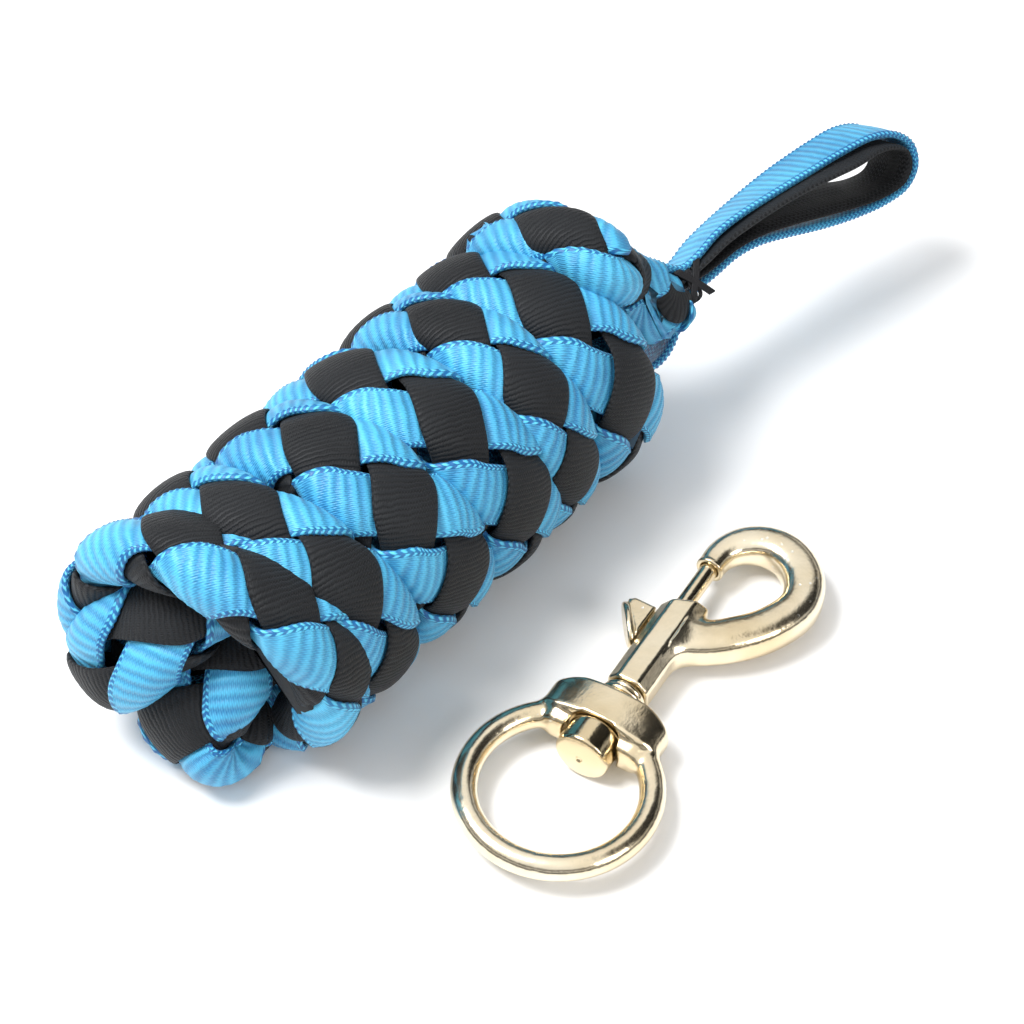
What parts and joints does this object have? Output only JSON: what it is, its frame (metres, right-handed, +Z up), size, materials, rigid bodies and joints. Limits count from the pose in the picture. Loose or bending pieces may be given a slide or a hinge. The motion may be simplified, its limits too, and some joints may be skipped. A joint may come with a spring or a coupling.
{
  "type": "lead rope",
  "caption": "Braided two-colour webbing lead rope wound into a hank, with a sewn webbing hand loop and a swivel bolt snap with a round eye.",
  "frame": {"origin": "on the surface that the object lies on, under the middle of the whole object's box", "axes": "+X along the hank towards the hand loop, -Y towards the side where the snap lies, +Z up"},
  "size_m": [0.2394, 0.1248, 0.0625],
  "materials": {
    "blue_webbing": "ribbed woven nylon tape with a satin sheen",
    "black_webbing": "fine-ribbed woven nylon tape, dull satin",
    "black_thread": "bonded sewing thread",
    "plated_brass": "polished pale brass plating over a casting",
    "spring_steel": "drawn wire"
  },
  "bodies": {
    "hank": {"rope_hank": "blue_webbing", "rope_neck": "blue_webbing", "handle_outer_web": "blue_webbing", "handle_inner_web": "black_webbing", "handle_bar_tack": "black_thread"},
    "snap": {"hook_body": "plated_brass", "swivel_rivet": "plated_brass", "swivel_washer": "plated_brass", "bolt_spring": "spring_steel"},
    "eye": {"swivel_eye": "plated_brass"},
    "bolt": {"bolt_plunger": "plated_brass", "thumb_knob": "plated_brass"}
  },
  "joints": [
    {"name": "snap_lift", "type": "slide", "parent": "hank", "child": "snap", "axis": [0, 0, 1], "range_m": [0, 0.1]},
    {"name": "eye_swivel", "type": "hinge", "parent": "snap", "child": "eye", "pos_m": [-0.04483, -0.03523, 0.007], "axis": [0.988, 0.1547, 0], "continuous": true},
    {"name": "bolt_slide", "type": "slide", "parent": "snap", "child": "bolt", "axis": [-0.988, -0.1547, 0], "range_m": [0, 0.011], "stiffness_N_per_m": 400, "springref_m": -0.006, "deforming": ["bolt_spring"]}
  ]
}
